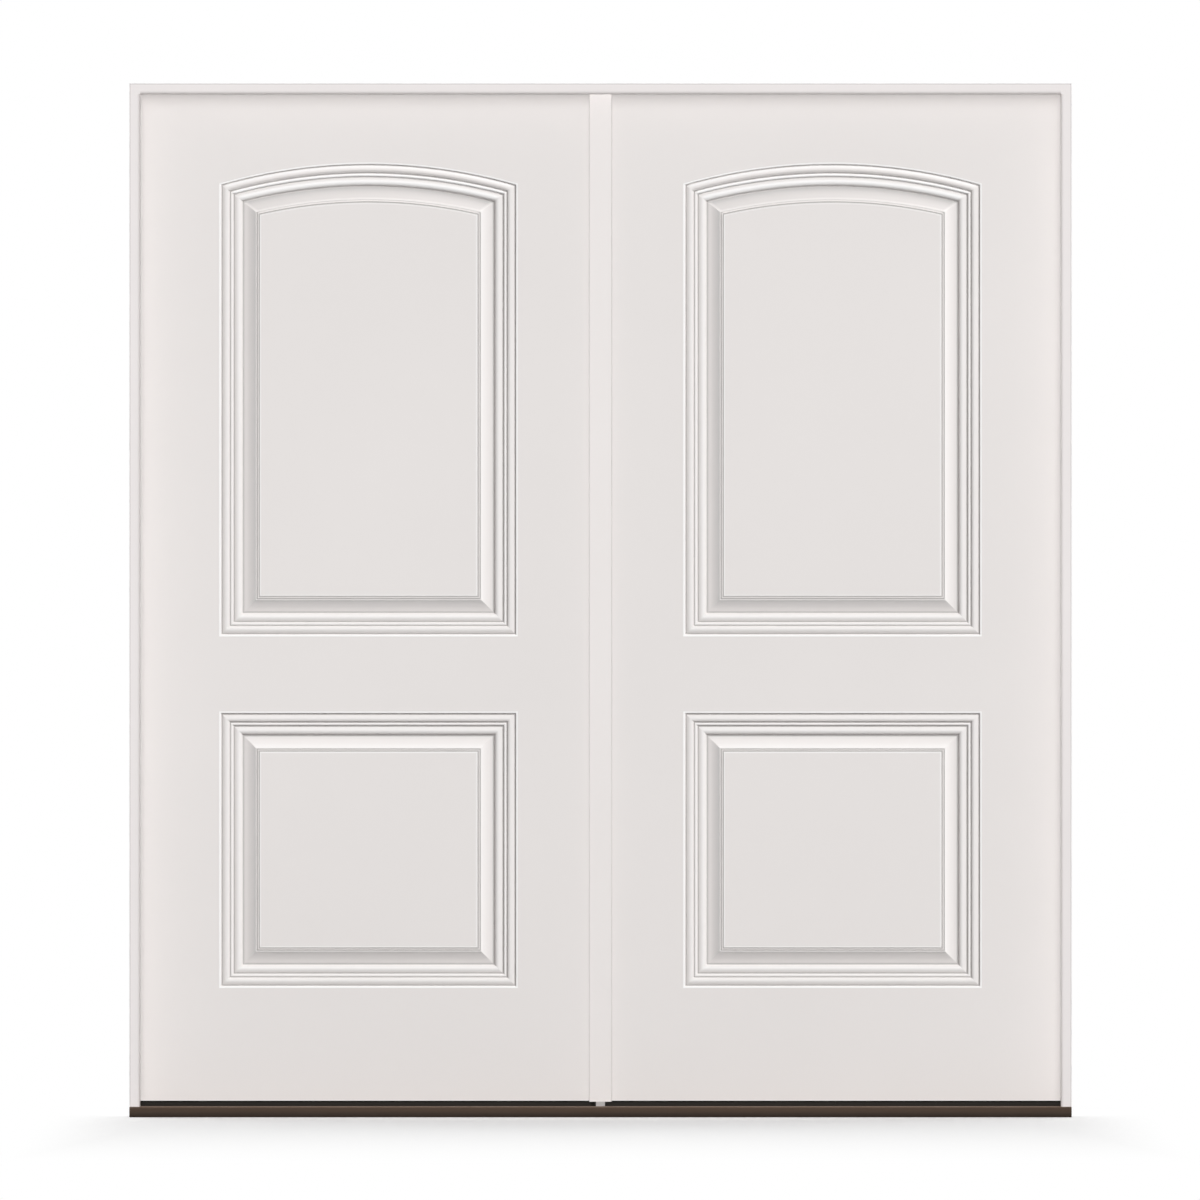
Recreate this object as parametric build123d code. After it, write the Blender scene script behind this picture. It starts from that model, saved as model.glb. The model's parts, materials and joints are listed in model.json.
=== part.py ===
"""Double entry door in its frame: two embossed steel leaves that swing inward from the
side jambs and close against a fixed T-section centre post, on a metal sill.

Frame: X to the right, Y inward (the outside of the house is at -Y), Z up, millimetres.
The origin is the middle of the sill's underside, half way through the frame's depth.
"""

import math
import os

from build123d import *

# Whole unit
unit_width = 1892.0
unit_height = 2076.0
frame_depth = 116.0

# Jambs and head: a rebated section with the stop towards the outside
jamb_face = 21.0
jamb_rebate = 10.0
jamb_edge_round = 6.0

# Leaf and its running gaps
leaf_thickness = 44.5
leaf_gap = 3.0
seal_gap = 5.0
skin_thickness = 1.0
stile_width = 28.0
rail_height = 32.0

# Panels pressed into both skins of a leaf
panel_hinge_margin = 167.0
panel_meeting_margin = 156.0
lower_panel_rise = 228.0
lower_panel_height = 553.0
lock_rail_height = 154.0
arch_crown_margin = 145.0
arch_rise = 42.0
moulding_width = 80.0
moulding_depth = 12.5

# Moulding section from its outer line to the field: share of the width, share of the depth
moulding_shares = [
    (0.000, 0.00),
    (0.052, 0.42),
    (0.120, 0.13),
    (0.180, 0.13),
    (0.250, 0.59),
    (0.300, 0.34),
    (0.355, 0.76),
    (0.455, 0.42),
    (0.574, 1.00),
    (0.780, 0.62),
    (0.985, 0.11),
]

# Foam's plainer section behind the moulding, nowhere nearer to the face than the skin
foam_shares = [
    (-0.030, 0.00),
    (0.000, 1.00),
    (0.800, 1.00),
    (1.020, 0.11),
]

# Centre post
post_flange_width = 45.0
post_flange_thickness = 7.0
post_stem_width = 18.0
post_wall = 2.5
post_edge_round = 1.5
post_flange_lift = 9.0

# Sill, threshold caps and door sweeps
sill_height = 21.0
sill_nose = 27.0
sill_wall = 2.0
sill_nose_round = 15.0
groove_count = 6
groove_pitch = 11.0
groove_width = 2.5
groove_depth = 0.8
groove_start = 12.0
cap_height = 6.0
cap_back_margin = 2.0
cap_end_gap = 0.5
cap_edge_round = 1.5
sweep_height = 4.7
sweep_base = 1.8
sweep_fin = 2.2
sweep_fin_count = 4
sweep_margin = 1.5
rub_clearance = 0.3

# Weather seals on the back of the stops
seal_width = 6.0
seal_inset = 0.5
seal_crown = 2.4

# Butt hinges
hinge_height = 101.0
hinge_plate_depth = 36.0
hinge_plate_thickness = 2.4
hinge_top_margin = 178.0
hinge_bottom_margin = 250.0
knuckle_radius = 6.4
knuckle_stand_off = 0.45
knuckle_gap = 0.4
knuckle_count = 3
pin_radius = 3.2
pin_clearance = 0.05

# Length by which cutting blocks pass the faces that they cut
overrun = 5.0

# Planes and lines that several pieces share
frame_front = -frame_depth / 2
frame_back = frame_depth / 2
leaf_back = frame_back
leaf_front = leaf_back - leaf_thickness
stop_back = leaf_front - seal_gap
jamb_outer = -unit_width / 2
stop_edge = jamb_outer + jamb_face
rebate_edge = stop_edge - jamb_rebate
head_stop_edge = unit_height - jamb_face
head_rebate_edge = head_stop_edge + jamb_rebate
leaf_hinge_edge = rebate_edge + leaf_gap
leaf_meeting_edge = -post_stem_width / 2 - leaf_gap
cap_top = sill_height + cap_height
leaf_bottom = cap_top + rub_clearance + sweep_height
leaf_top = head_rebate_edge - leaf_gap
panel_left = leaf_hinge_edge + panel_hinge_margin
panel_right = leaf_meeting_edge - panel_meeting_margin
lower_panel_bottom = leaf_bottom + lower_panel_rise
lower_panel_top = lower_panel_bottom + lower_panel_height
upper_panel_bottom = lower_panel_top + lock_rail_height
arch_crown = leaf_top - arch_crown_margin
pin_x = (rebate_edge + leaf_hinge_edge) / 2
pin_y = frame_back + knuckle_radius + knuckle_stand_off


def block(low, high):
    """Box from its lowest corner to its highest corner."""
    size = [b - a for a, b in zip(low, high)]
    return Pos(*low) * Box(*size, align=(Align.MIN, Align.MIN, Align.MIN))


def along_x(section, start, end):
    """Prism of a section drawn with Y across and Z up, from one X to another."""
    plane = Plane(origin=(start, 0, 0), x_dir=(0, 1, 0), z_dir=(1, 0, 0))
    return extrude(plane * section, amount=end - start)


def along_z(section, bottom, top):
    """Prism of a section drawn with X across and Y inward, from one height to another."""
    return extrude(Plane.XY.offset(bottom) * section, amount=top - bottom)


def rectangle(low, high):
    """Flat rectangle from its lower corner to its upper corner."""
    size = [b - a for a, b in zip(low, high)]
    return Pos(*low) * Rectangle(*size, align=(Align.MIN, Align.MIN))


def to_right(piece):
    """The same piece on the other side of the door."""
    return mirror(piece, about=Plane.YZ)


# Frame pieces


def side_jamb():
    """Rebated jamb, its stop edge eased up to the head, with a mortise for each hinge plate."""
    section = rectangle((jamb_outer, frame_front), (stop_edge, stop_back))
    section += rectangle((jamb_outer, stop_back), (rebate_edge, frame_back))
    front_edge = section.vertices().filter_by_position(Axis.Y, frame_front, frame_front)
    eased = fillet(front_edge.sort_by(Axis.X)[-1], jamb_edge_round)
    jamb = along_z(eased, sill_height, head_stop_edge)
    jamb += along_z(section, head_stop_edge, unit_height)
    for bottom in hinge_bottoms():
        jamb -= hinge_pocket(rebate_edge - hinge_plate_thickness, rebate_edge, bottom)
    return jamb


def head_jamb():
    """Rebated head between the side jambs."""
    stop = rectangle((frame_front, head_stop_edge), (stop_back, unit_height))
    lower_edge = stop.vertices().sort_by(Axis.X)[:2].sort_by(Axis.Y)[0]
    stop = fillet(lower_edge, jamb_edge_round)
    back = rectangle((stop_back, head_rebate_edge), (frame_back, unit_height))
    head = along_x(stop, stop_edge, -stop_edge)
    return head + along_x(back, rebate_edge, -rebate_edge)


def centre_post():
    """Hollow T-section: a flange outside the leaves and a stem between their edges."""
    flange_front = stop_back - post_flange_thickness
    flange = rectangle((-post_flange_width / 2, flange_front), (post_flange_width / 2, stop_back))
    flange_edges = flange.vertices().sort_by(Axis.Y)[:2]
    flange = fillet(flange_edges, post_edge_round)
    stem = rectangle((-post_stem_width / 2, stop_back), (post_stem_width / 2, frame_back))
    hollow = rectangle(
        (-post_stem_width / 2 + post_wall, stop_back + post_wall),
        (post_stem_width / 2 - post_wall, frame_back - post_wall),
    )
    post = along_z(stem - hollow, sill_height, head_rebate_edge)
    return post + along_z(flange, sill_height + post_flange_lift, head_stop_edge)


def sill_section(wall):
    """Outline of the sill inside a wall of this thickness, with a rounded nose."""
    low = (frame_front - sill_nose + wall, 0)
    outline = rectangle(low, (frame_back - wall, sill_height - wall))
    nose = outline.vertices().sort_by(Axis.X)[:2].sort_by(Axis.Y)[-1]
    return fillet(nose, sill_nose_round - wall)


def sill_cover():
    """Metal sill cover, open downward, with shallow grip grooves along its tread."""
    section = sill_section(0) - sill_section(sill_wall)
    for index in range(groove_count):
        middle = frame_front + groove_start + index * groove_pitch
        low = (middle - groove_width / 2, sill_height - groove_depth)
        high = (middle + groove_width / 2, sill_height + overrun)
        section -= rectangle(low, high)
    return along_x(section, jamb_outer, -jamb_outer)


def sill_substrate():
    """Composite bar that fills the cover."""
    return along_x(sill_section(sill_wall), jamb_outer, -jamb_outer)


def threshold_cap():
    """Cap under the leaf, from the jamb to the post's stem."""
    section = rectangle(
        (leaf_front + rub_clearance, sill_height), (frame_back - cap_back_margin, cap_top)
    )
    section = fillet(section.vertices().sort_by(Axis.Y)[2:], cap_edge_round)
    return along_x(section, rebate_edge + cap_end_gap, -post_stem_width / 2 - cap_end_gap)


def seal_section():
    """Bulb seal seen along its run: flat on the stop, crowned towards the leaf."""
    depth = seal_gap - rub_clearance
    half = seal_width / 2
    crown = ThreePointArc((half, depth - seal_crown), (0, depth), (-half, depth - seal_crown))
    sides = Polyline((-half, depth - seal_crown), (-half, 0), (half, 0), (half, depth - seal_crown))
    return make_face(crown + sides)


def upright_seal(middle, bottom, top):
    """Seal on the back of an upright stop, about a line at this X."""
    return along_z(Pos(middle, stop_back) * seal_section(), bottom, top)


def jamb_seal():
    middle = stop_edge - seal_inset - seal_width / 2
    return upright_seal(middle, sill_height, head_rebate_edge)


def post_seal():
    middle = -post_flange_width / 2 + seal_inset + seal_width / 2
    return upright_seal(middle, sill_height + post_flange_lift, head_stop_edge)


def head_seal():
    middle = head_stop_edge + seal_inset + seal_width / 2
    section = Pos(stop_back, middle) * Rot(0, 0, -90) * seal_section()
    return along_x(section, stop_edge, -post_stem_width / 2 - rub_clearance)


# Hinges


def hinge_bottoms():
    """Lower ends of the hinges, from the lowest to the highest."""
    lowest = leaf_bottom + hinge_bottom_margin
    highest = leaf_top - hinge_top_margin - hinge_height
    return [lowest, (lowest + highest) / 2, highest]


def hinge_pocket(low_x, high_x, bottom):
    """Space of a hinge plate, open towards the inside of the house."""
    low = (low_x, frame_back - hinge_plate_depth, bottom)
    high = (high_x, frame_back + overrun, bottom + hinge_height)
    return block(low, high)


def knuckle_length():
    gaps = (knuckle_count - 1) * knuckle_gap
    return (hinge_height - gaps) / knuckle_count


def pin_line(radius):
    """Round section about the hinge axis."""
    return Pos(pin_x, pin_y) * Circle(radius)


def hinge_half(low_x, high_x, bottom, first):
    """Hinge plate with every second knuckle, counted from the first one."""
    low = (low_x, frame_back - hinge_plate_depth, bottom)
    half = block(low, (high_x, frame_back, bottom + hinge_height))
    for index in range(first, knuckle_count, 2):
        start = bottom + index * (knuckle_length() + knuckle_gap)
        end = start + knuckle_length()
        half += block((low_x, frame_back, start), (high_x, pin_y, end))
        half += along_z(pin_line(knuckle_radius), start, end)
    return half


def hinge_jamb_half(bottom):
    """Half on the jamb, with the pin staked in its knuckles."""
    half = hinge_half(rebate_edge - hinge_plate_thickness, rebate_edge, bottom, 0)
    return half + along_z(pin_line(pin_radius), bottom, bottom + hinge_height)


def hinge_leaf_half(bottom):
    """Half on the leaf, bored to turn on the pin."""
    half = hinge_half(leaf_hinge_edge, leaf_hinge_edge + hinge_plate_thickness, bottom, 1)
    bore = pin_line(pin_radius + pin_clearance)
    return half - along_z(bore, bottom, bottom + hinge_height)


# Leaf


def lower_outline(inset):
    """Square panel's outline, drawn inward by the inset."""
    low = (panel_left + inset, lower_panel_bottom + inset)
    return rectangle(low, (panel_right - inset, lower_panel_top - inset))


def upper_outline(inset):
    """Arched panel's outline, drawn inward by the inset; its arcs share one centre."""
    half_width = (panel_right - panel_left) / 2
    middle = panel_left + half_width
    radius = (half_width**2 + arch_rise**2) / (2 * arch_rise)
    half = half_width - inset
    shoulder = arch_crown - radius + math.sqrt((radius - inset) ** 2 - half**2)
    corner_a = (middle - half, shoulder)
    corner_b = (middle + half, shoulder)
    foot_a = (middle - half, upper_panel_bottom + inset)
    foot_b = (middle + half, upper_panel_bottom + inset)
    arch = ThreePointArc(corner_b, (middle, arch_crown - inset), corner_a)
    sides = Polyline(corner_a, foot_a, foot_b, corner_b)
    return make_face(arch + sides)


def pressed_block(section_shares):
    """Half of a leaf's thickness whose outer face carries both panels at height zero."""
    outline = rectangle((leaf_hinge_edge, leaf_bottom), (leaf_meeting_edge, leaf_top))
    body = extrude(outline, amount=-leaf_thickness / 2)
    points = [(w * moulding_width, -d * moulding_depth) for w, d in section_shares]
    for panel in (lower_outline, upper_outline):
        for (inset_a, level_a), (inset_b, level_b) in zip(points, points[1:]):
            if level_a == level_b:
                continue
            rise = abs(level_b - level_a)
            slope = math.degrees(math.atan2(inset_b - inset_a, rise))
            step = extrude(panel(inset_a), amount=rise, dir=(0, 0, 1), taper=slope)
            if level_b > level_a:
                body += Pos(0, 0, level_a) * step
            else:
                body -= Pos(0, 0, level_a) * mirror(step, about=Plane.XY)
    return body


def facing_out(piece, face_y):
    """Turn a piece drawn flat so that its heights point outside, its face at this Y."""
    plane = Plane(origin=(0, face_y, 0), x_dir=(1, 0, 0), z_dir=(0, -1, 0))
    return plane.location * piece


def to_inside(piece):
    """The same piece on the inner face of the leaf."""
    middle = Plane.XZ.offset(-(leaf_front + leaf_back) / 2)
    return mirror(piece, about=middle)


def between_skins(low_x, high_x, bottom, top):
    """Bar that fills the leaf from skin to skin."""
    low = (low_x, leaf_front + skin_thickness, bottom)
    return block(low, (high_x, leaf_back - skin_thickness, top))


def foam_core():
    """Foam between the skins, stiles and rails, pressed by the panels on both faces."""
    middle = (leaf_front + leaf_back) / 2
    low = (leaf_hinge_edge + stile_width, leaf_front, leaf_bottom + rail_height)
    high = (leaf_meeting_edge - stile_width, middle, leaf_top - rail_height)
    pressed = facing_out(pressed_block(foam_shares), leaf_front + skin_thickness)
    outer_half = pressed & block(low, high)
    return outer_half + to_inside(outer_half)


def sweep():
    """Finned strip under the leaf, just clear of the threshold cap."""
    front = leaf_front + sweep_margin
    back = leaf_back - sweep_margin
    section = rectangle((front, leaf_bottom - sweep_base), (back, leaf_bottom))
    pitch = (back - front - sweep_fin) / (sweep_fin_count - 1)
    for index in range(sweep_fin_count):
        start = front + index * pitch
        low = (start, leaf_bottom - sweep_height)
        section += rectangle(low, (start + sweep_fin, leaf_bottom - sweep_base))
    return along_x(section, leaf_hinge_edge + sweep_margin, leaf_meeting_edge - sweep_margin)


def leaf_pieces():
    """Pieces of the left leaf by name."""
    filled = facing_out(pressed_block(moulding_shares), leaf_front)
    skin = filled - Pos(0, skin_thickness, 0) * filled
    inner_skin = to_inside(skin)
    inner_hinge = leaf_hinge_edge + stile_width
    inner_meeting = leaf_meeting_edge - stile_width
    hinge_stile = between_skins(leaf_hinge_edge, inner_hinge, leaf_bottom, leaf_top)
    for bottom in hinge_bottoms():
        pocket = hinge_pocket(leaf_hinge_edge, leaf_hinge_edge + hinge_plate_thickness, bottom)
        hinge_stile -= pocket
        inner_skin -= pocket
    return {
        "outer_skin": skin,
        "inner_skin": inner_skin,
        "hinge_stile": hinge_stile,
        "meeting_stile": between_skins(inner_meeting, leaf_meeting_edge, leaf_bottom, leaf_top),
        "top_rail": between_skins(inner_hinge, inner_meeting, leaf_top - rail_height, leaf_top),
        "bottom_rail": between_skins(
            inner_hinge, inner_meeting, leaf_bottom, leaf_bottom + rail_height
        ),
        "foam_core": foam_core(),
        "sweep": sweep(),
    }


def side_pieces():
    """Pieces of the left half of the door by name."""
    pieces = {
        "jamb": side_jamb(),
        "jamb_seal": jamb_seal(),
        "head_seal": head_seal(),
        "post_seal": post_seal(),
        "threshold_cap": threshold_cap(),
    }
    pieces.update(leaf_pieces())
    for place, bottom in zip(("lower", "middle", "upper"), hinge_bottoms()):
        pieces[f"{place}_hinge_jamb_half"] = hinge_jamb_half(bottom)
        pieces[f"{place}_hinge_leaf_half"] = hinge_leaf_half(bottom)
    return pieces


# Written files

door = {
    "head_jamb": head_jamb(),
    "centre_post": centre_post(),
    "sill_cover": sill_cover(),
    "sill_substrate": sill_substrate(),
}
for name, piece in side_pieces().items():
    door[f"left_{name}"] = piece
    door[f"right_{name}"] = to_right(piece)

os.makedirs("parts", exist_ok=True)
for name, piece in door.items():
    export_step(piece, f"parts/{name}.step")
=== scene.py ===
"""Looks of the double entry door: finely pressed skins, finishes, small fasteners and a studio."""

import json
import math

import bmesh
import bpy
from mathutils import Matrix, Vector


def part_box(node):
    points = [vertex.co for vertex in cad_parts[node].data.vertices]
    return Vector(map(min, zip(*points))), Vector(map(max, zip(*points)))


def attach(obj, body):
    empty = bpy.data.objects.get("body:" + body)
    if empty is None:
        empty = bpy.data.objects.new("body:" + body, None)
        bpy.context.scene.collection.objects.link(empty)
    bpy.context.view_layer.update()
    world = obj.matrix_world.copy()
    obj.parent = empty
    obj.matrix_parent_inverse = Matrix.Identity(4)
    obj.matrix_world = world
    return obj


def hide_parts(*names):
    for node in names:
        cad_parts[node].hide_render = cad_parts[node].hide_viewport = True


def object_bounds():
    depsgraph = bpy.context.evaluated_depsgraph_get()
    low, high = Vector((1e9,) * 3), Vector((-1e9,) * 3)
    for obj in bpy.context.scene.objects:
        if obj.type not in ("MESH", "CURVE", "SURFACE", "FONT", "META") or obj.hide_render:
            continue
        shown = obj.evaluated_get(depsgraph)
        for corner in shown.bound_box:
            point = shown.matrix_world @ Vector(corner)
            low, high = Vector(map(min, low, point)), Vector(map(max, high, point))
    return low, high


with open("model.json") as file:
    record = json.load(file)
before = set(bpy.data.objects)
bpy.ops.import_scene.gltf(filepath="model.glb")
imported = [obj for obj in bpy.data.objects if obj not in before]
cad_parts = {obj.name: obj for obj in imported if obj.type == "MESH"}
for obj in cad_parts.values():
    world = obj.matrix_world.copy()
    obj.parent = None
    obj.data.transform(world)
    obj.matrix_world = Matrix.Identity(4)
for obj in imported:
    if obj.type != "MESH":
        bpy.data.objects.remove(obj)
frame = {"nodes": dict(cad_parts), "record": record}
nodes = frame["nodes"]
cad_box = [list(corner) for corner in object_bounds()]

SIDES = ("left", "right")
PLACES = ("lower", "middle", "upper")

# Photograph's view, in metres: a long lens square to the door
view_centre = -0.001
view_width = 2.413
view_height = 1.0387
view_distance = 60.0
view_reach = 400.0
sensor_width_mm = 36.0

# Leaf's pressed skins
skin_thickness = 0.001
panel_hinge_margin = 0.167
panel_meeting_margin = 0.156
lower_panel_rise = 0.228
lower_panel_height = 0.553
lock_rail_height = 0.154
arch_crown_margin = 0.145
arch_rise = 0.042
arch_segments = 64
plate_thickness = 0.0024
moulding_width = 0.080
moulding_depth = 0.0125
section_steps = 4
crease_angle = math.radians(35)

# Moulding section from its outer line to the field: share of the width, share of the depth, and
# how much light or shade is painted on, on the straight sides and along the arch: above zero a
# painted highlight on edges and crests, below zero painted shade in grooves and on shaded slopes
moulding_section = [
    (-0.024, 0.000, 0.0, 0.0),
    (-0.014, 0.000, 1.0, 1.0),
    (0.014, 0.010, 1.0, 1.0),
    (0.022, 0.040, 0.6, 0.6),
    (0.030, 0.100, 0.0, 0.2),
    (0.038, 0.190, -0.5, 0.0),
    (0.046, 0.260, -1.0, 0.0),
    (0.056, 0.230, -1.0, 0.2),
    (0.066, 0.205, -0.3, 0.5),
    (0.085, 0.165, 0.0, 0.7),
    (0.110, 0.115, 0.1, 0.4),
    (0.140, 0.085, 0.2, 0.0),
    (0.165, 0.078, 0.3, -0.1),
    (0.195, 0.105, 0.2, -0.3),
    (0.220, 0.165, 0.1, 0.0),
    (0.233, 0.235, 0.0, 0.2),
    (0.245, 0.350, -0.4, 0.2),
    (0.252, 0.380, -1.0, 0.0),
    (0.262, 0.355, -1.0, 0.2),
    (0.270, 0.325, 0.0, 0.7),
    (0.280, 0.305, 0.4, 1.0),
    (0.300, 0.298, 0.5, 1.0),
    (0.316, 0.325, 0.3, 1.0),
    (0.330, 0.410, 0.0, 0.7),
    (0.342, 0.530, -0.4, 0.3),
    (0.349, 0.555, -1.0, 0.0),
    (0.361, 0.535, -1.0, -0.2),
    (0.371, 0.510, -0.1, -0.2),
    (0.405, 0.450, 0.2, 0.2),
    (0.435, 0.415, 0.3, 0.8),
    (0.462, 0.405, 0.4, 1.0),
    (0.495, 0.435, 0.4, 1.0),
    (0.525, 0.505, 0.2, 0.6),
    (0.541, 0.575, 0.0, 0.2),
    (0.557, 0.700, -0.1, 0.3),
    (0.569, 0.805, -0.5, 0.2),
    (0.577, 0.835, -1.0, -0.1),
    (0.598, 0.835, -1.0, -0.8),
    (0.612, 0.827, -0.3, -0.9),
    (0.640, 0.805, -0.1, -0.75),
    (0.690, 0.750, 0.0, -0.5),
    (0.780, 0.570, 0.1, -0.3),
    (0.850, 0.365, 0.3, -0.3),
    (0.908, 0.170, 0.4, 0.3),
    (0.918, 0.200, -1.0, 0.0),
    (0.938, 0.200, -1.0, 0.0),
    (0.946, 0.130, 0.1, 0.1),
    (0.960, 0.125, 0.1, 0.0),
    (0.968, 0.155, -1.0, -1.0),
    (0.990, 0.155, -1.0, -1.0),
    (0.998, 0.110, 0.5, 0.3),
    (1.026, 0.110, 0.5, 0.3),
    (1.036, 0.110, 0.0, 0.0),
]
# Height of the painted highlight along the leaf's bottom edge
painted_highlight_border = 0.0016

# Fasteners: rows, columns and places are shares of the plate or the cap that carries the screws;
# brim, reach, width and taper are shares of the screw's head
leaf_gap = 0.003
cap_end_gap = 0.0005
knuckle_radius = 0.0064
screw_rows = (0.13, 0.38, 0.62, 0.87)
screw_columns = (0.34, 0.66, 0.34, 0.66)
plate_screw_radius = 0.0044
plate_screw_rise = 0.0005
cap_screw_radius = 0.0040
cap_screw_rise = 0.0002
cap_screw_places = (0.06, 0.28, 0.50, 0.72, 0.94)
screw_root = 0.0008
screw_brim = 0.9
screw_segments = 32
cross_reach = 0.55
cross_width = 0.16
cross_depth = 0.0009
cross_taper = 0.7
pin_tip_profile = [
    (0.0031, -0.0010),
    (0.0031, 0.0004),
    (0.0044, 0.0006),
    (0.0047, 0.0012),
    (0.0044, 0.0019),
    (0.0034, 0.0025),
    (0.0018, 0.0028),
]
pin_segments = 32

# Rubber pads beside the post's foot
pad_width = 0.0048
pad_depth = 0.0044
pad_height = 0.014
pad_round = 0.0006
pad_round_steps = 3
pad_round_profile = 0.5

# Noise of the finishes: its stretch along the axes, and the middle of its range
EVEN = (1, 1, 1)
ALONG_X = (0.02, 1, 1)
ALONG_Z = (1, 1, 0.02)
noise_middle = (0.33, 0.67)
cloud_middle = (0.3, 0.7)

# Paint: the fine peel of the spray, painted highlights and painted shade on the pressed skins, and
# the line along the frame's edges
peel = (700.0, EVEN)
peel_strength = 0.10
peel_depth = 0.0002
satin_gloss = 0.25
painted_highlight_strength = 0.95
painted_shade_strength = 0.90
edge_line_width = 0.0028
edge_line_factor = 0.82

# Wood and foam: scales of the noise in metres, and places of the colours on it
wood_ring_scale = 55.0
wood_ring_stretch = (1, 1, 0.03)
wood_ring_detail = 5.0
wood_ring_places = (0.32, 0.45, 0.56, 0.70)
wood_ring_shade = 0.86
wood_fibre_scale = 600.0
wood_roughness = (0.55, 0.75)
wood_relief = (0.25, 0.0002)
foam_cell_scale = 900.0
foam_cell_places = (0.1, 0.7)
foam_cell_shade = 0.75
foam_roughness = 0.95
foam_relief = (0.5, 0.0004)

# Painted shade by height: metres above the floor, and the factor on the finish's colour; the
# sill's rounded front is painted darker towards the floor where it turns from the light, and the
# post's foot below its flange is painted dark as the flange's shadow
sill_painted_shade = [(0.0, 0.15), (0.008, 0.26), (0.014, 0.38), (0.0195, 0.50), (0.0208, 1.0)]
post_painted_shade = [(0.0296, 0.53), (0.0304, 1.0)]

# Studio lights: strength, softness and the direction that each comes from
world_light = 0.12
key_strength = 2.80
key_softness = math.radians(22)
key_from = Vector((0.60, -0.60, 0.62))
front_strength = 0.80
front_softness = math.radians(30)
front_from = Vector((0.0, -1.0, 0.22))
frame_light_strength = 2.43
side_strength = 0.5
side_from = Vector((1.0, 0.05, 0.30))
back_strength = 2.8
back_softness = math.radians(40)
back_from = Vector((-0.35, 0.85, 0.30))
frame_back_strength = 2.4
frame_back_from = Vector((0.0, 1.0, 0.02))
floor_light_strength = 1.9
floor_light_softness = math.radians(70)
floor_light_from = Vector((0.0, 0.8, 0.8))

# Studio floor: its colour where it is seen, the light that it throws back, and the stretches in
# metres over which it fades to white beside, before and behind the door
floor_size = 60.0
floor_colour = (0.93, 0.93, 0.93)
floor_bounce = (0.35, 0.35, 0.35)
floor_glow = 0.42
floor_side = (0.88, 1.12)
floor_front = (-1.0, -5.0)
floor_back = (0.10, 0.90)
floor_roughness = 0.9
floor_mottle = 0.01
floor_mottle_scale = 0.8


def mesh_object(name, bm, material, body):
    """Finished piece from a bmesh: it rides on the body and takes its finish from the slot."""
    bmesh.ops.recalc_face_normals(bm, faces=bm.faces)
    mesh = bpy.data.meshes.new(name)
    bm.to_mesh(mesh)
    bm.free()
    mesh.materials.append(material)
    piece = bpy.data.objects.new(name, mesh)
    bpy.context.scene.collection.objects.link(piece)
    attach(piece, body)
    return piece


# Finishes


def new_material(name):
    """Empty node material: its nodes, a link function and its principled shader."""
    material = bpy.data.materials.new(name)
    material.use_nodes = True
    tree = material.node_tree
    return material, tree.nodes, tree.links.new, tree.nodes["Principled BSDF"]


def reopen(material):
    """Nodes of a finish, their link function, its shader and the source of the shader's colour."""
    nodes_of, link = material.node_tree.nodes, material.node_tree.links.new
    shader = nodes_of["Principled BSDF"]
    return nodes_of, link, shader, shader.inputs["Base Color"].links[0].from_socket


def object_axes(nodes_of, link):
    """The piece's own X, Y and Z in metres."""
    place = nodes_of.new("ShaderNodeTexCoord")
    axes = nodes_of.new("ShaderNodeSeparateXYZ")
    link(place.outputs["Object"], axes.inputs["Vector"])
    return axes.outputs


def object_noise(nodes_of, link, scale, stretch=EVEN, detail=3.0):
    """Noise in the piece's own metres, stretched along an axis."""
    place = nodes_of.new("ShaderNodeTexCoord")
    mapping = nodes_of.new("ShaderNodeMapping")
    mapping.inputs["Scale"].default_value = stretch
    noise = nodes_of.new("ShaderNodeTexNoise")
    noise.inputs["Scale"].default_value = scale
    noise.inputs["Detail"].default_value = detail
    link(place.outputs["Object"], mapping.inputs["Vector"])
    link(mapping.outputs["Vector"], noise.inputs["Vector"])
    return noise.outputs["Fac"]


def calculate(nodes_of, link, operation, *sources):
    """Result of a math node's operation on one or two values."""
    node = nodes_of.new("ShaderNodeMath")
    node.operation = operation
    for socket, source in zip(node.inputs, sources):
        link(source, socket)
    return node.outputs["Value"]


def largest(nodes_of, link, first, *others):
    """Largest of several values."""
    for other in others:
        first = calculate(nodes_of, link, "MAXIMUM", first, other)
    return first


def remap(nodes_of, link, source, start, end, low=0.0, high=1.0, curve="LINEAR"):
    """Source value from start to end brought to low to high, and held there beyond."""
    node = nodes_of.new("ShaderNodeMapRange")
    node.interpolation_type = curve
    limits = {"From Min": start, "From Max": end, "To Min": low, "To Max": high}
    for name, value in limits.items():
        node.inputs[name].default_value = value
    link(source, node.inputs["Value"])
    return node.outputs["Result"]


def spread(nodes_of, link, noise, low, high):
    """Middle of a noise's range spread over a new range."""
    return remap(nodes_of, link, noise, *noise_middle, low, high)


def ramp(nodes_of, link, source, stops):
    """Colours along a source value."""
    node = nodes_of.new("ShaderNodeValToRGB")
    elements = node.color_ramp.elements
    while len(elements) < len(stops):
        elements.new(1.0)
    for element, (place, colour) in zip(elements, stops):
        element.position = place
        element.color = (*colour, 1.0)
    link(source, node.inputs["Fac"])
    return node.outputs["Color"]


def clouds_of(nodes_of, link, noise, dark, light):
    """Colours from dark to light over the middle of a noise's range."""
    return ramp(nodes_of, link, noise, list(zip(cloud_middle, (dark, light))))


def tint(nodes_of, link, base, colour, amount, blend="MIX"):
    """Base colour blended with a plain colour by an amount."""
    mix = nodes_of.new("ShaderNodeMix")
    mix.data_type = "RGBA"
    mix.blend_type = blend
    link(amount, mix.inputs["Factor"])
    link(base, mix.inputs["A"])
    mix.inputs["B"].default_value = (*colour, 1.0)
    return mix.outputs["Result"]


def bump(nodes_of, link, shader, height, strength, distance):
    node = nodes_of.new("ShaderNodeBump")
    node.inputs["Strength"].default_value = strength
    node.inputs["Distance"].default_value = distance
    link(height, node.inputs["Height"])
    link(node.outputs["Normal"], shader.inputs["Normal"])


def shade(colour, factor):
    return tuple(part * factor for part in colour)


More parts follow.
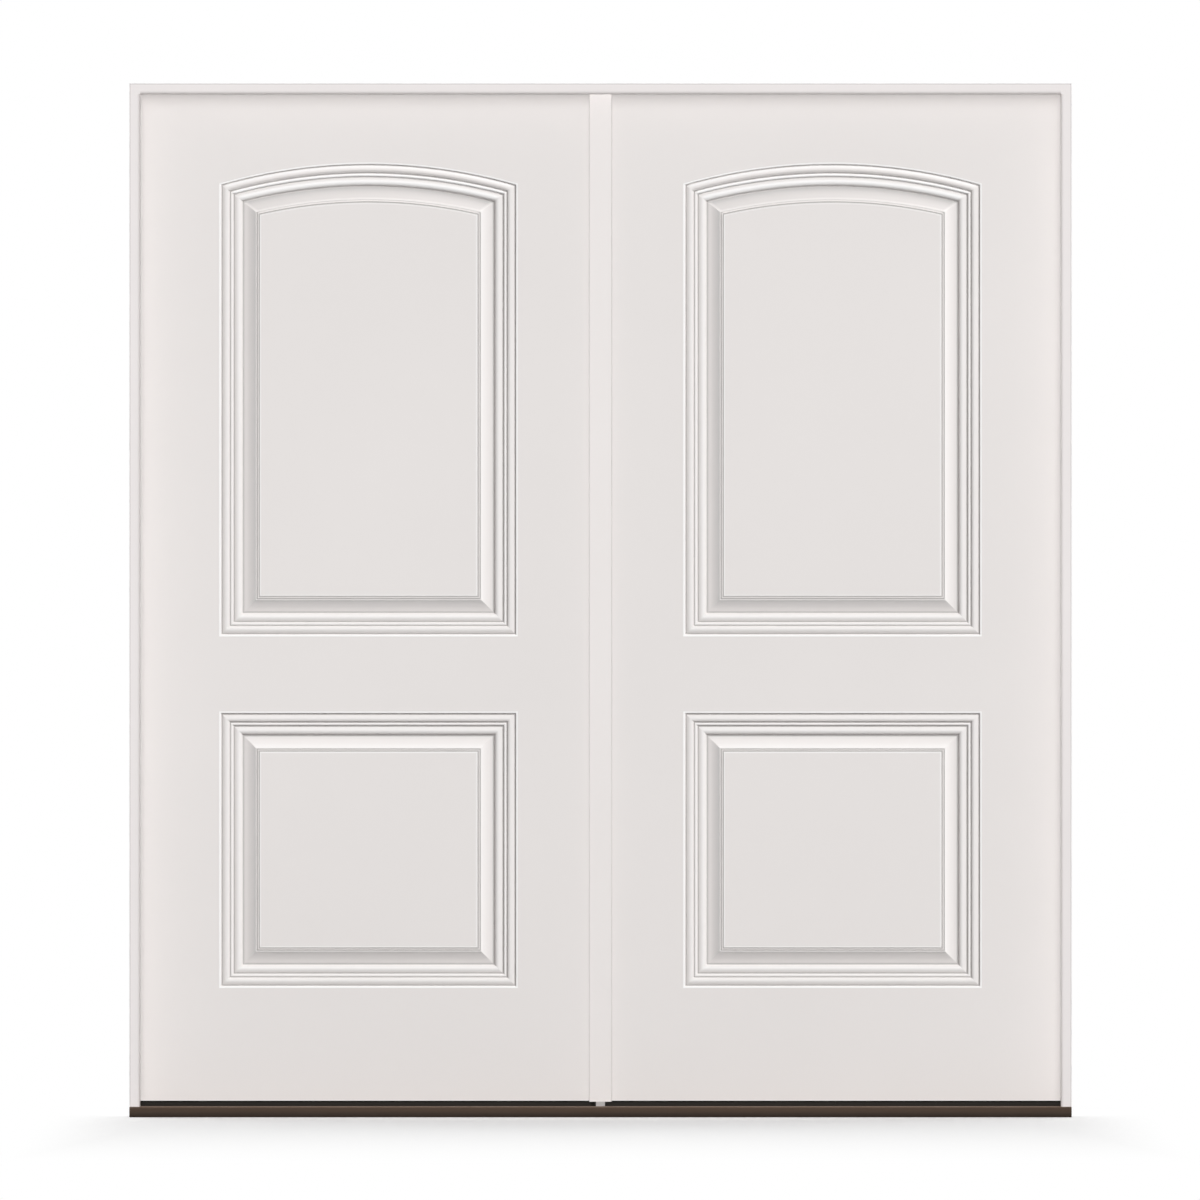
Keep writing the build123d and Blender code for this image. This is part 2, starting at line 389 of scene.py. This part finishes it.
def finish(
    name, colour, contrast, clouds, roughness, grain, strength, distance, metal=0.0, gloss=0.5
):
    """Finish with faint clouds of colour, uneven gloss and a fine relief.

    clouds and grain are (scale, stretch) pairs of noise in metres, and strength and distance are
    those of the relief."""
    material, nodes_of, link, shader = new_material(name)
    cloud = object_noise(nodes_of, link, *clouds)
    dark, light = shade(colour, 1 - contrast), shade(colour, 1 + contrast)
    link(clouds_of(nodes_of, link, cloud, dark, light), shader.inputs["Base Color"])
    fine = object_noise(nodes_of, link, *grain)
    link(spread(nodes_of, link, fine, *roughness), shader.inputs["Roughness"])
    bump(nodes_of, link, shader, fine, strength, distance)
    shader.inputs["Metallic"].default_value = metal
    shader.inputs["Specular IOR Level"].default_value = gloss
    return material


def paint(name, colour, contrast, cloud_scale, roughness, gloss=0.5):
    """Sprayed paint: faint clouds and the fine peel of the spray."""
    return finish(
        name, colour, contrast, (cloud_scale, EVEN), roughness, peel, peel_strength, peel_depth,
        gloss=gloss,
    )


def door_paint(name, colour, painted_light_mark, painted_shade_tone):
    """Paint on the pressed skins: painted highlights on edges and crests and painted shade in
    grooves, set by the mesh's painted-light layer.
    """
    material = paint(name, colour, contrast=0.012, cloud_scale=1.6, roughness=(0.34, 0.44))
    nodes_of, link, shader, base = reopen(material)
    painted_light_layer = nodes_of.new("ShaderNodeAttribute")
    painted_light_layer.attribute_name = "painted_light_layer"
    for tone, end, strength in ((painted_light_mark, 1.0, painted_highlight_strength), (painted_shade_tone, -1.0, painted_shade_strength)):
        amount = remap(nodes_of, link, painted_light_layer.outputs["Fac"], 0.0, end, 0.0, strength)
        base = tint(nodes_of, link, base, tone, amount)
    link(base, shader.inputs["Base Color"])
    return material


def edge_line(material, half_width, top):
    """Finish with a thin darker line along the frame's outer sides and top."""
    nodes_of, link, shader, base = reopen(material)
    axes = object_axes(nodes_of, link)
    across = calculate(nodes_of, link, "ABSOLUTE", axes["X"])
    for source, edge in ((across, half_width), (axes["Z"], top)):
        near = remap(nodes_of, link, source, edge - edge_line_width, edge - edge_line_width / 2)
        base = tint(nodes_of, link, base, (edge_line_factor,) * 3, near, "MULTIPLY")
    link(base, shader.inputs["Base Color"])
    return material


def shade_by_height(material, tones):
    """Finish deepened or lightened by height as painted shade: tones are (metres, factor) pairs."""
    nodes_of, link, shader, base = reopen(material)
    top = tones[-1][0]
    share = remap(nodes_of, link, object_axes(nodes_of, link)["Z"], 0.0, top)
    stops = [(height / top, (factor,) * 3) for height, factor in tones]
    mix = nodes_of.new("ShaderNodeMix")
    mix.data_type = "RGBA"
    mix.blend_type = "MULTIPLY"
    mix.inputs["Factor"].default_value = 1.0
    link(base, mix.inputs["A"])
    link(ramp(nodes_of, link, share, stops), mix.inputs["B"])
    link(mix.outputs["Result"], shader.inputs["Base Color"])
    return material


def wood(name, light, dark):
    """Pine with rings drawn out along the piece's height."""
    material, nodes_of, link, shader = new_material(name)
    rings = object_noise(nodes_of, link, wood_ring_scale, wood_ring_stretch, wood_ring_detail)
    colours = (dark, light, shade(light, wood_ring_shade), light)
    stops = list(zip(wood_ring_places, colours))
    link(ramp(nodes_of, link, rings, stops), shader.inputs["Base Color"])
    fibre = object_noise(nodes_of, link, wood_fibre_scale, ALONG_Z)
    link(spread(nodes_of, link, fibre, *wood_roughness), shader.inputs["Roughness"])
    bump(nodes_of, link, shader, fibre, *wood_relief)
    return material


def foam(name, colour):
    """Rigid foam with small closed cells."""
    material, nodes_of, link, shader = new_material(name)
    cells = nodes_of.new("ShaderNodeTexVoronoi")
    cells.inputs["Scale"].default_value = foam_cell_scale
    place = nodes_of.new("ShaderNodeTexCoord")
    link(place.outputs["Object"], cells.inputs["Vector"])
    stops = list(zip(foam_cell_places, (shade(colour, foam_cell_shade), colour)))
    link(ramp(nodes_of, link, cells.outputs["Distance"], stops), shader.inputs["Base Color"])
    bump(nodes_of, link, shader, cells.outputs["Distance"], *foam_relief)
    shader.inputs["Roughness"].default_value = foam_roughness
    return material


finishes = {
    "frame_paint": edge_line(
        paint(
            "frame_paint", (0.83, 0.788, 0.780), contrast=0.012, cloud_scale=2.5,
            roughness=(0.38, 0.46), gloss=satin_gloss,
        ),
        half_width=cad_box[1][0], top=cad_box[1][2],
    ),
    # The post's foot below the flange takes a painted shadow
    "post_paint": shade_by_height(
        paint(
            "post_paint", (0.83, 0.79, 0.775), contrast=0.010, cloud_scale=2.5,
            roughness=(0.38, 0.46), gloss=satin_gloss,
        ),
        post_painted_shade,
    ),
    # Pale tone for the painted highlights, dark tone for the painted shade
    "door_paint": door_paint(
        "door_paint", (0.797, 0.762, 0.746), painted_light_mark=(0.98, 0.97, 0.965), painted_shade_tone=(0.45, 0.43, 0.42)
    ),
    # The sill's front is painted darker towards the floor as painted shade
    "bronze_sill": shade_by_height(
        finish(
            "bronze_sill", (0.128, 0.082, 0.055), contrast=0.10, clouds=(60.0, ALONG_X),
            roughness=(0.50, 0.62), grain=(900.0, ALONG_X), strength=0.25, distance=0.0001,
            metal=0.2, gloss=0.15,
        ),
        sill_painted_shade,
    ),
    "sill_composite": finish(
        "sill_composite", (0.10, 0.09, 0.08), contrast=0.12, clouds=(300.0, EVEN),
        roughness=(0.70, 0.85), grain=(900.0, EVEN), strength=0.4, distance=0.0003,
    ),
    "threshold_plastic": finish(
        "threshold_plastic", (0.020, 0.0175, 0.0145), contrast=0.15, clouds=(40.0, ALONG_X),
        roughness=(0.60, 0.75), grain=(1200.0, EVEN), strength=0.3, distance=0.0002, gloss=0.12,
    ),
    "seal_rubber": finish(
        "seal_rubber", (0.13, 0.124, 0.120), contrast=0.06, clouds=(50.0, EVEN),
        roughness=(0.70, 0.85), grain=(1500.0, EVEN), strength=0.4, distance=0.0002,
    ),
    "sweep_rubber": finish(
        "sweep_rubber", (0.018, 0.0165, 0.014), contrast=0.15, clouds=(50.0, EVEN),
        roughness=(0.65, 0.85), grain=(1500.0, EVEN), strength=0.3, distance=0.0002, gloss=0.12,
    ),
    "edge_wood": wood("edge_wood", light=(0.66, 0.50, 0.34), dark=(0.50, 0.34, 0.20)),
    "foam": foam("foam", (0.80, 0.72, 0.50)),
    "hinge_steel": finish(
        "hinge_steel", (0.60, 0.60, 0.59), contrast=0.06, clouds=(90.0, ALONG_Z),
        roughness=(0.26, 0.40), grain=(1400.0, ALONG_Z), strength=0.25, distance=0.0001, metal=1.0,
    ),
}
slots = {row["node"]: row["material_slot"] for row in frame["record"]["subparts"]}
for name, node in nodes.items():
    node.data.materials.clear()
    node.data.materials.append(finishes[slots[name]])


# Pressed skins


def smooth_section():
    """Insets, depths and painted light (highlight above zero, shade below) of the moulding on a
    smooth line through its points.
    """
    places = [row[0] * moulding_width for row in moulding_section]
    depths = [row[1] * moulding_depth for row in moulding_section]
    painted_lights = [row[2:] for row in moulding_section]
    widths = [b - a for a, b in zip(places, places[1:])]
    secants = [(b - a) / width for a, b, width in zip(depths, depths[1:], widths)]
    slopes = [secants[0]]
    for before, after in zip(secants, secants[1:]):
        level = before * after <= 0
        slopes.append(0.0 if level else 2 * before * after / (before + after))
    slopes.append(secants[-1])
    points = []
    for i, width in enumerate(widths):
        for step in range(section_steps):
            t = step / section_steps
            start = (1 + 2 * t) * (1 - t) ** 2 * depths[i] + t * (1 - t) ** 2 * width * slopes[i]
            end = t * t * (3 - 2 * t) * depths[i + 1] + t * t * (t - 1) * width * slopes[i + 1]
            painted_light = [a + t * (b - a) for a, b in zip(painted_lights[i], painted_lights[i + 1])]
            points.append((places[i] + t * width, start + end, *painted_light))
    points.append((places[-1], depths[-1], *painted_lights[-1]))
    return points


def panel_loop(left, right, bottom, crown, rise, inset):
    """Panel's outline drawn inward: feet, top corners and, between these, the arch's points."""
    middle, half = (left + right) / 2, (right - left) / 2 - inset
    foot_a, foot_b = (middle - half, bottom + inset), (middle + half, bottom + inset)
    if rise == 0:
        return [foot_a, foot_b, (middle + half, crown - inset), (middle - half, crown - inset)]
    radius = (((right - left) / 2) ** 2 + rise**2) / (2 * rise)
    centre = crown - radius
    sweep = math.asin(half / (radius - inset))
    arch = []
    for step in range(arch_segments + 1):
        angle = sweep * (1 - 2 * step / arch_segments)
        arch.append((
            middle + (radius - inset) * math.sin(angle),
            centre + (radius - inset) * math.cos(angle),
        ))
    return [foot_a, foot_b, *arch]


def press_skin(name, side, face):
    """Closed steel sheet with both panels pressed into it, on one face of a leaf."""
    low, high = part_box(f"left_{face}_skin")
    outer = face == "outer"
    mirror_x = 1 if side == "left" else -1
    face_y = low.y if outer else high.y
    inward = 1 if outer else -1
    left, right = low.x + panel_hinge_margin, high.x - panel_meeting_margin
    lower_bottom = low.z + lower_panel_rise
    lower_top = lower_bottom + lower_panel_height
    panels = [
        (lower_bottom, lower_top, 0),
        (lower_top + lock_rail_height, high.z - arch_crown_margin, arch_rise),
    ]
    bm = bmesh.new()
    painted_light_layer = bm.verts.layers.float.new("painted_light_layer")
    sharp = []

    def vertex(x, z, depth=0.0, painted_light=0.0):
        made = bm.verts.new((mirror_x * x, face_y + inward * depth, z))
        made[painted_light_layer] = painted_light
        return made

    outlines = []
    for bottom, crown, rise in panels:
        loops = []
        for inset, depth, painted_light, arch_painted_light in smooth_section():
            loop = panel_loop(left, right, bottom, crown, rise, inset)
            # Both feet and both top corners take the straight sides' painted highlight and shade
            painted_lights = [painted_light] * 3 + [arch_painted_light] * (len(loop) - 4) + [painted_light]
            loops.append([vertex(x, z, depth, painted_light_mark) for (x, z), painted_light_mark in zip(loop, painted_lights)])
        count = len(loops[0])
        mitres = (0, 1, 2, count - 1)
        for loop_a, loop_b in zip(loops, loops[1:]):
            for i in range(count):
                j = (i + 1) % count
                bm.faces.new((loop_a[i], loop_a[j], loop_b[j], loop_b[i]))
            sharp += [(loop_a[i], loop_b[i]) for i in mitres]
        bm.faces.new(loops[-1])
        for line in (loops[0], loops[-1]):
            sharp += [(line[i - 1], line[i]) for i in range(count)]
        outlines.append(loops[0])
    lower, upper = outlines

    hem = low.z + painted_highlight_border
    hinge_edge = [vertex(low.x, hem)]
    if not outer:
        for place in PLACES:
            plate_low, plate_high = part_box(f"left_{place}_hinge_leaf_half")
            for x, z in (
                (low.x, plate_low.z),
                (low.x + plate_thickness, plate_low.z),
                (low.x + plate_thickness, plate_high.z),
                (low.x, plate_high.z),
            ):
                hinge_edge.append(vertex(x, z))
    hinge_edge.append(vertex(low.x, high.z))
    foot_left, foot_right = vertex(left, hem), vertex(right, hem)
    head_left, head_right = vertex(left, high.z), vertex(right, high.z)
    meeting_foot, meeting_head = vertex(high.x, hem), vertex(high.x, high.z)
    feet = (hinge_edge[0], foot_left, foot_right, meeting_foot)
    # The leaf's bottom edge carries a painted highlight
    edges = [vertex(x, low.z, painted_light=1.0) for x in (low.x, left, right, high.x)]
    for i in range(len(feet) - 1):
        bm.faces.new((feet[i], feet[i + 1], edges[i + 1], edges[i]))
    bm.faces.new((*hinge_edge, head_left, upper[-1], upper[0], lower[3], lower[0], foot_left))
    bm.faces.new((
        foot_right, lower[1], lower[2], upper[1], upper[2], head_right, meeting_head, meeting_foot
    ))
    bm.faces.new((foot_left, lower[0], lower[1], foot_right))
    bm.faces.new((lower[3], upper[0], upper[1], lower[2]))
    bm.faces.new((*upper[2:], head_left, head_right))

    fronts = list(bm.faces)
    rim = [tuple(edge.verts) for edge in bm.edges if edge.is_boundary]
    backs = {v: bm.verts.new(v.co + Vector((0, inward * skin_thickness, 0))) for v in list(bm.verts)}
    for front in fronts:
        bm.faces.new([backs[v] for v in reversed(front.verts)])
    for a, b in rim:
        bm.faces.new((a, b, backs[b], backs[a]))
    for f in bm.faces:
        f.smooth = True
    sharp += [(backs[a], backs[b]) for a, b in sharp]
    for a, b in sharp:
        bm.edges.get((a, b)).smooth = False
    bm.normal_update()
    for edge in bm.edges:
        if edge.is_manifold and edge.calc_face_angle() > crease_angle:
            edge.smooth = False
    piece = mesh_object(name, bm, finishes["door_paint"], f"{side}_leaf")
    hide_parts(f"{side}_{face}_skin")
    return piece


for side in SIDES:
    for face in ("outer", "inner"):
        press_skin(f"{side}_{face}_pressed_skin", side, face)


# Fasteners


def ring(bm, frame_at, radius, height, segments):
    """Circle of vertices at a height above a fastener's seat."""
    turns = [2 * math.pi * i / segments for i in range(segments)]
    return [
        bm.verts.new(frame_at @ Vector((radius * math.cos(t), radius * math.sin(t), height)))
        for t in turns
    ]


def bridge(bm, ring_a, ring_b):
    count = len(ring_a)
    for i in range(count):
        j = (i + 1) % count
        bm.faces.new((ring_a[i], ring_a[j], ring_b[j], ring_b[i]))


def cross_loop(bm, frame_at, reach, width, height):
    """Outline of a screw's cross-shaped recess."""
    arms = [(reach, -width), (reach, width), (width, width)]
    loop = []
    for quarter in range(4):
        c, s = math.cos(quarter * math.pi / 2), math.sin(quarter * math.pi / 2)
        for x, y in arms:
            loop.append(bm.verts.new(frame_at @ Vector((c * x - s * y, s * x + c * y, height))))
    return loop


def screw(bm, frame_at, radius, rise):
    """Screw head that stands on its seat by the rise, with a tapered cross recess."""
    root = ring(bm, frame_at, radius, -screw_root, screw_segments)
    foot = ring(bm, frame_at, radius, rise / 2, screw_segments)
    brim = ring(bm, frame_at, radius * screw_brim, rise, screw_segments)
    bridge(bm, root, foot)
    bridge(bm, foot, brim)
    bm.faces.new(list(reversed(root)))
    mouth = cross_loop(bm, frame_at, radius * cross_reach, radius * cross_width, rise)
    pit = cross_loop(
        bm, frame_at, radius * cross_reach * cross_taper, radius * cross_width * cross_taper,
        rise - cross_depth,
    )
    outline = [bm.edges.get((brim[i - 1], brim[i])) for i in range(len(brim))]
    bridge(bm, mouth, pit)
    outline += [bm.edges.get((mouth[i - 1], mouth[i])) for i in range(len(mouth))]
    bmesh.ops.triangle_fill(bm, use_beauty=True, edges=outline)
    bm.faces.new(pit)


def seat(origin, axis):
    """Frame of a fastener: its own +Z leaves the seat along the axis."""
    return Matrix.Translation(origin) @ axis.to_track_quat("Z", "Y").to_matrix().to_4x4()


def plate_screws(side, place, half):
    """Screws of one hinge plate."""
    sign = 1 if side == "left" else -1
    low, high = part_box(f"left_{place}_hinge_{half}_half")
    leaf_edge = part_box("left_hinge_stile")[0].x
    plate_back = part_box("left_inner_skin")[1].y
    face_x = leaf_edge if half == "leaf" else leaf_edge - leaf_gap
    facing = -1 if half == "leaf" else 1
    bm = bmesh.new()
    for row, column in zip(screw_rows, screw_columns):
        y = low.y + column * (plate_back - low.y)
        z = low.z + row * (high.z - low.z)
        axis = Vector((sign * facing, 0, 0))
        screw(bm, seat(Vector((sign * face_x, y, z)), axis), plate_screw_radius, plate_screw_rise)
    body = f"{side}_leaf" if half == "leaf" else "frame"
    name = f"{side}_{place}_hinge_{half}_screws"
    return mesh_object(name, bm, finishes["hinge_steel"], body)


def pin_tips(side, place):
    """Button ends of one hinge pin, above and below its knuckles."""
    sign = 1 if side == "left" else -1
    low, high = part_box(f"left_{place}_hinge_jamb_half")
    x, y = sign * (low.x + knuckle_radius), high.y - knuckle_radius
    bm = bmesh.new()
    for z, axis in ((high.z, Vector((0, 0, 1))), (low.z, Vector((0, 0, -1)))):
        frame_at = seat(Vector((x, y, z)), axis)
        rings = [ring(bm, frame_at, *place_on, pin_segments) for place_on in pin_tip_profile]
        for ring_a, ring_b in zip(rings, rings[1:]):
            bridge(bm, ring_a, ring_b)
        bm.faces.new(list(reversed(rings[0])))
        bm.faces.new(rings[-1])
    for f in bm.faces:
        f.smooth = len(f.verts) == 4
    name = f"{side}_{place}_hinge_pin_tips"
    return mesh_object(name, bm, finishes["hinge_steel"], "frame")


def cap_screws(side):
    """Adjusting screws along one threshold cap."""
    low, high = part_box(f"{side}_threshold_cap")
    bm = bmesh.new()
    for share in cap_screw_places:
        origin = Vector((low.x + share * (high.x - low.x), (low.y + high.y) / 2, high.z))
        screw(bm, seat(origin, Vector((0, 0, 1))), cap_screw_radius, cap_screw_rise)
    name = f"{side}_threshold_screws"
    return mesh_object(name, bm, finishes["hinge_steel"], "frame")


def foot_pad(side):
    """Rubber pad that closes the corner between the post's stem and the end of the sweep."""
    sign = -1 if side == "left" else 1
    stem_x = abs(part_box("left_threshold_cap")[1].x) - cap_end_gap
    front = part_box("left_post_seal")[0].y
    floor_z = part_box("sill_cover")[1].z
    bm = bmesh.new()
    low = Vector((sign * stem_x, front, floor_z))
    high = low + Vector((sign * pad_width, pad_depth, pad_height))
    cube = bmesh.ops.create_cube(bm, size=1.0)["verts"]
    bmesh.ops.scale(bm, vec=high - low, verts=cube)
    bmesh.ops.translate(bm, vec=(low + high) / 2, verts=cube)
    bmesh.ops.bevel(
        bm, geom=list(bm.edges), offset=pad_round, segments=pad_round_steps,
        profile=pad_round_profile, affect="EDGES",
    )
    return mesh_object(f"{side}_post_foot_pad", bm, finishes["sweep_rubber"], "frame")


for side in SIDES:
    foot_pad(side)
    cap_screws(side)
    for place in PLACES:
        pin_tips(side, place)
        for half in ("jamb", "leaf"):
            plate_screws(side, place, half)


# Studio

scene = bpy.context.scene
scene.view_settings.view_transform = "Standard"


def set_camera():
    """Camera square to the door, with the photograph's framing."""
    data = bpy.data.cameras.new("camera")
    data.sensor_width = sensor_width_mm
    data.lens = sensor_width_mm * view_distance / view_width
    data.clip_end = view_reach
    camera = bpy.data.objects.new("camera", data)
    camera.location = (view_centre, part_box("left_outer_skin")[0].y - view_distance, view_height)
    camera.rotation_euler = (math.pi / 2, 0, 0)
    scene.collection.objects.link(camera)
    scene.camera = camera


def seen_directly(nodes_of, link):
    """One where the camera sees a surface, also in a mirror or through glass, else zero."""
    rays = nodes_of.new("ShaderNodeLightPath").outputs
    kinds = ("Is Camera Ray", "Is Glossy Ray", "Is Transmission Ray")
    return largest(nodes_of, link, *(rays[kind] for kind in kinds))


def mix_shaders(nodes_of, link, factor, first, second):
    mix = nodes_of.new("ShaderNodeMixShader")
    for socket, source in zip(mix.inputs, (factor, first, second)):
        link(source, socket)
    return mix.outputs["Shader"]


def set_world():
    """Faint even light all round, and white where it is seen."""
    world = bpy.data.worlds.new("studio")
    world.use_nodes = True
    scene.world = world
    nodes_of, link = world.node_tree.nodes, world.node_tree.links.new
    soft, white = nodes_of["Background"], nodes_of.new("ShaderNodeBackground")
    for background, strength in ((soft, world_light), (white, 1.0)):
        background.inputs["Color"].default_value = (1, 1, 1, 1)
        background.inputs["Strength"].default_value = strength
    seen = seen_directly(nodes_of, link)
    both = mix_shaders(nodes_of, link, seen, soft.outputs["Background"], white.outputs["Background"])
    link(both, nodes_of["World Output"].inputs["Surface"])


def floor_finish():
    """Pale floor that keeps the door's shadow and fades to white away from the door."""
    material, nodes_of, link, shader = new_material("floor")
    shader.inputs["Roughness"].default_value = floor_roughness
    shader.inputs["Specular IOR Level"].default_value = 0.0
    mottle = object_noise(nodes_of, link, floor_mottle_scale)
    dark = shade(floor_colour, 1 - floor_mottle)
    link(clouds_of(nodes_of, link, mottle, dark, floor_colour), shader.inputs["Base Color"])
    shader.inputs["Emission Color"].default_value = (1, 1, 1, 1)
    shader.inputs["Emission Strength"].default_value = floor_glow
    white = nodes_of.new("ShaderNodeEmission").outputs["Emission"]
    bounce = nodes_of.new("ShaderNodeBsdfDiffuse")
    bounce.inputs["Color"].default_value = (*floor_bounce, 1)
    axes = object_axes(nodes_of, link)
    across = calculate(nodes_of, link, "ABSOLUTE", axes["X"])
    reaches = ((across, floor_side), (axes["Y"], floor_front), (axes["Y"], floor_back))
    fades = [remap(nodes_of, link, source, *reach, curve="SMOOTHSTEP") for source, reach in reaches]
    away = largest(nodes_of, link, *fades)
    shown = mix_shaders(nodes_of, link, away, shader.outputs["BSDF"], white)
    seen = seen_directly(nodes_of, link)
    whole = mix_shaders(nodes_of, link, seen, bounce.outputs["BSDF"], shown)
    link(whole, nodes_of["Material Output"].inputs["Surface"])
    return material


def set_floor():
    """Level square of floor under the door."""
    half = floor_size / 2
    corners = [(-half, -half, 0), (half, -half, 0), (half, half, 0), (-half, half, 0)]
    mesh = bpy.data.meshes.new("floor")
    mesh.from_pydata(corners, [], [(0, 1, 2, 3)])
    mesh.materials.append(floor_finish())
    floor = bpy.data.objects.new("floor", mesh)
    scene.collection.objects.link(floor)
    return floor


def soft_sun(name, strength, softness, source):
    """Broad, even light from one direction."""
    data = bpy.data.lights.new(name, "SUN")
    data.energy = strength
    data.angle = softness
    lamp = bpy.data.objects.new(name, data)
    lamp.rotation_euler = source.to_track_quat("Z", "Y").to_euler()
    scene.collection.objects.link(lamp)
    return lamp


def link_group(name, members, state):
    """Group of objects that a lamp takes in or leaves out."""
    group = bpy.data.collections.new(name)
    for member in members:
        group.objects.link(member)
    for item in group.collection_objects:
        item.light_linking.link_state = state
    return group


set_camera()
set_world()
floor = set_floor()

key = soft_sun("key", key_strength, key_softness, key_from)
front_light = soft_sun("front_light", front_strength, front_softness, front_from)
frame_light = soft_sun("frame_light", frame_light_strength, front_softness, front_from)
right_light = soft_sun("right_light", side_strength, back_softness, side_from)
left_light = soft_sun("left_light", side_strength, back_softness, side_from * Vector((-1, 1, 1)))
back_light = soft_sun("back_light", back_strength, back_softness, back_from)
frame_back_light = soft_sun("frame_back_light", frame_back_strength, front_softness, frame_back_from)
floor_light = soft_sun("floor_light", floor_light_strength, floor_light_softness, floor_light_from)

frame_faces = [nodes[name] for name in ("left_jamb", "right_jamb", "head_jamb", "centre_post")]
seals = [node for name, node in nodes.items() if name.endswith("_seal")]
key.light_linking.blocker_collection = link_group("clear_of_key", frame_faces + seals, "EXCLUDE")
frame_apart = link_group("frame_apart", frame_faces + [floor], "EXCLUDE")
for lamp in (key, front_light, back_light):
    lamp.light_linking.receiver_collection = frame_apart
frame_only = link_group("frame_only", frame_faces, "INCLUDE")
for lamp in (frame_light, frame_back_light, left_light, right_light):
    lamp.light_linking.receiver_collection = frame_only
frame_light.light_linking.blocker_collection = link_group("clear_of_frame", frame_faces, "EXCLUDE")
floor_light.light_linking.receiver_collection = link_group("floor_only", [floor], "INCLUDE")
